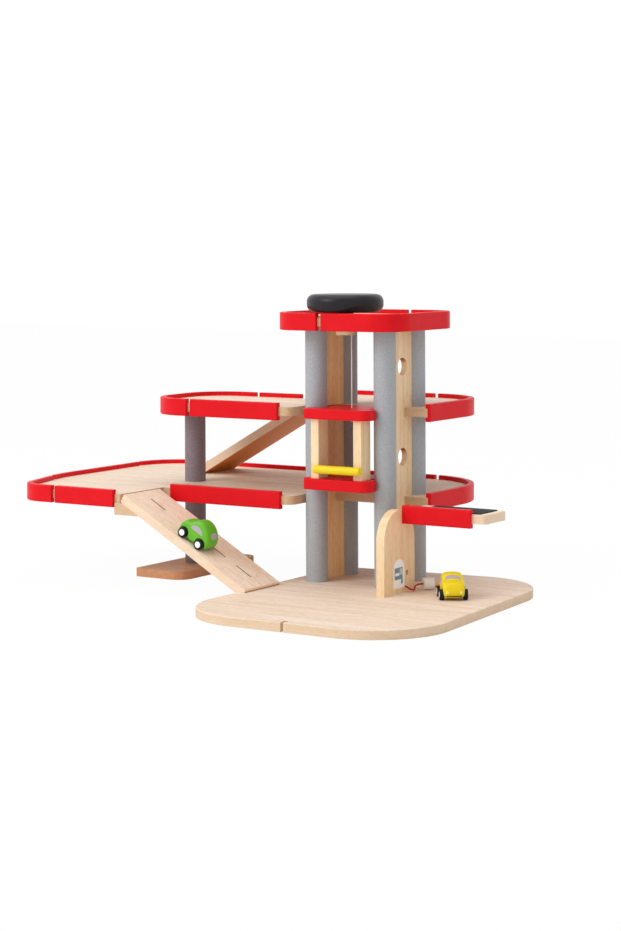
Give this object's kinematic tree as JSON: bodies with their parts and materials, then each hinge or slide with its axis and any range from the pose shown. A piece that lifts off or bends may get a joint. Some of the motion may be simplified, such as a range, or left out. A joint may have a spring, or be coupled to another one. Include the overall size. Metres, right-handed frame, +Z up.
{
  "type": "toy parking garage with lift",
  "caption": "Wooden toy parking garage with decks on tube columns, a hand-wound lift, lift-off ramps, a fuel pump, a solar shelf and small rolling cars.",
  "frame": {"origin": "centre of the four tower tubes in plan, on the plane of the base board's underside", "axes": "+Z up; +X from the tower towards the pump and solar shelf; -Y towards the open end of the base board and the front of the lift"},
  "size_m": [0.7568, 0.552, 0.4046],
  "materials": {
    "red_paint": "gloss",
    "grey_tube": "satin",
    "black_gloss": "gloss",
    "dark_wood": "satin",
    "pale_wood": "satin",
    "white_cord": "matte",
    "yellow_paint": "gloss",
    "green_paint": "gloss",
    "white_print": "satin",
    "red_cord": "matte",
    "white_plastic": "gloss",
    "peach_wood": "satin",
    "dark_sheet": "satin",
    "black_rubber": "matte",
    "grey_print": "satin"
  },
  "bodies": {
    "frame": {"base_board": "pale_wood", "column_lower": "grey_tube", "column_upper": "grey_tube", "cord_cup": "pale_wood", "foot_board": "dark_wood", "ledge_1": "pale_wood", "ledge_2": "pale_wood", "lower_band_corner": "red_paint", "lower_band_front": "red_paint", "lower_band_left": "red_paint", "lower_band_rear": "red_paint", "lower_band_rear_left": "red_paint", "lower_band_rear_right": "red_paint", "lower_band_step": "red_paint", "lower_board": "pale_wood", "nozzle_body": "white_plastic", "nozzle_tip": "peach_wood", "panel_left": "pale_wood", "panel_right": "pale_wood", "pump_board": "pale_wood", "pump_hose": "red_cord", "pump_sticker": "white_print", "solar_band": "red_paint", "solar_board": "pale_wood", "solar_sheet": "dark_sheet", "top_band_left": "red_paint", "top_band_right": "red_paint", "top_board": "pale_wood", "tube_front_left": "grey_tube", "tube_front_right": "grey_tube", "tube_rear_left": "grey_tube", "tube_rear_right": "grey_tube", "upper_band_front": "red_paint", "upper_band_inner": "red_paint", "upper_band_left": "red_paint", "upper_band_rear": "red_paint", "upper_band_rear_right": "red_paint", "upper_board": "pale_wood"},
    "lift": {"lift_floor": "red_paint", "lift_roof": "red_paint", "lift_posts": "pale_wood", "cord_knot": "white_cord", "lift_cord": "white_cord"},
    "barrier": {"barrier_rod": "yellow_paint"},
    "winder": {"winding_knob": "black_gloss", "winding_shaft": "pale_wood"},
    "ramp_1": {"ramp_1": "pale_wood"},
    "ramp_2": {"ramp_2": "pale_wood"},
    "yellow_car": {"yellow_car_body": "yellow_paint", "yellow_car_windows": "grey_print"},
    "yellow_car_front_wheels": {"yellow_car_front_axle": "white_plastic", "yellow_car_front_tyres": "black_rubber"},
    "yellow_car_rear_wheels": {"yellow_car_rear_axle": "white_plastic", "yellow_car_rear_tyres": "black_rubber"},
    "green_car": {"green_car_body": "green_paint", "green_car_windows": "grey_print"},
    "green_car_front_wheels": {"green_car_front_axle": "white_plastic", "green_car_front_tyres": "black_rubber"},
    "green_car_rear_wheels": {"green_car_rear_axle": "white_plastic", "green_car_rear_tyres": "black_rubber"}
  },
  "joints": [
    {"name": "lift_slide", "type": "slide", "parent": "frame", "child": "lift", "axis": [0, 0, 1], "range_m": [-0.1295, 0.093], "deforming": ["lift_cord"]},
    {"name": "barrier_hinge", "type": "hinge", "parent": "lift", "child": "barrier", "pos_m": [0.0335, -0.083, 0.17], "axis": [0, 1, 0], "range_deg": [0, 90]},
    {"name": "winder_turn", "type": "hinge", "parent": "frame", "child": "winder", "pos_m": [-0.004, -0.045, 0.388], "axis": [0, 0, 1], "range_deg": [-760, 540]},
    {"name": "ramp_1_lift_off", "type": "slide", "parent": "frame", "child": "ramp_1", "axis": [0, 0, 1], "range_m": [0, 0.09]},
    {"name": "ramp_2_lift_off", "type": "slide", "parent": "frame", "child": "ramp_2", "axis": [0, 0, 1], "range_m": [0, 0.09]},
    {"name": "yellow_car_lift_off", "type": "slide", "parent": "frame", "child": "yellow_car", "axis": [0, 0, 1], "range_m": [0, 0.05]},
    {"name": "green_car_lift_off", "type": "slide", "parent": "ramp_1", "child": "green_car", "axis": [0, 0, 1], "range_m": [0, 0.05]},
    {"name": "yellow_front_spin", "type": "hinge", "parent": "yellow_car", "child": "yellow_car_front_wheels", "pos_m": [0.18073, -0.0802, 0.019], "axis": [0.8131, 0.5821, 0], "continuous": true},
    {"name": "yellow_rear_spin", "type": "hinge", "parent": "yellow_car", "child": "yellow_car_rear_wheels", "pos_m": [0.16327, -0.0558, 0.019], "axis": [0.8131, 0.5821, 0], "continuous": true},
    {"name": "green_front_spin", "type": "hinge", "parent": "green_car", "child": "green_car_front_wheels", "pos_m": [-0.18659, -0.153, 0.08442], "axis": [0, 1, 0], "continuous": true},
    {"name": "green_rear_spin", "type": "hinge", "parent": "green_car", "child": "green_car_rear_wheels", "pos_m": [-0.1605, -0.153, 0.0696], "axis": [0, 1, 0], "continuous": true}
  ],
  "couplings": [
    {"joint": "winder_turn", "follows": "lift_slide", "rad_per_m": 100}
  ]
}
